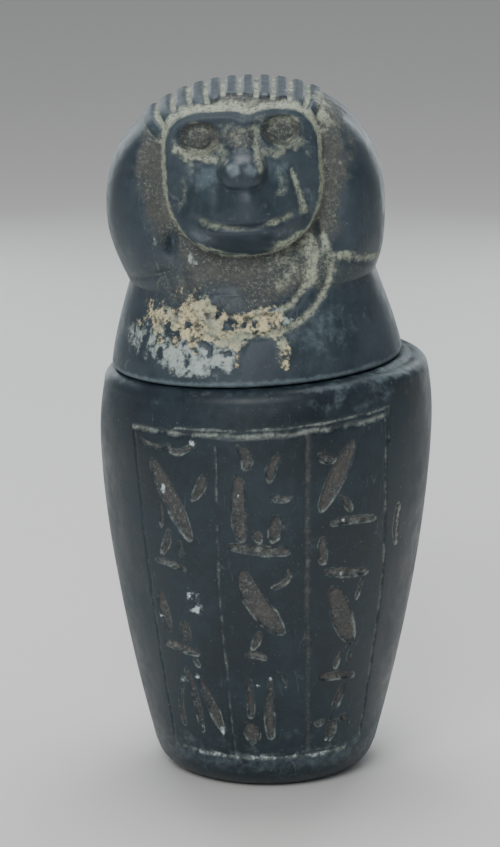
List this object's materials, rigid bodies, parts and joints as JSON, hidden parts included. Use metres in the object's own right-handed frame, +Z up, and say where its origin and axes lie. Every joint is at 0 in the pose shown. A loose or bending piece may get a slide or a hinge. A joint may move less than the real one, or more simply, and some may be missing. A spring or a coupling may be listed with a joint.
{
  "type": "canopic jar",
  "caption": "Stone canopic jar with a baboon-headed lid: a tapering hollow vessel with an incised front panel, and a lid that lifts off.",
  "frame": {"origin": "centre of the foot's underside, on the floor", "axes": "+Z up along the jar, -Y towards the baboon's face and the inscribed panel, +X to the viewer's right"},
  "size_m": [0.1172, 0.1172, 0.2475],
  "materials": {
    "stone": "dark blue-grey stone, worn semi-polish, with pale deposit in the carving"
  },
  "bodies": {
    "root": {"jar": "stone", "lid": "stone"}
  },
  "joints": []
}
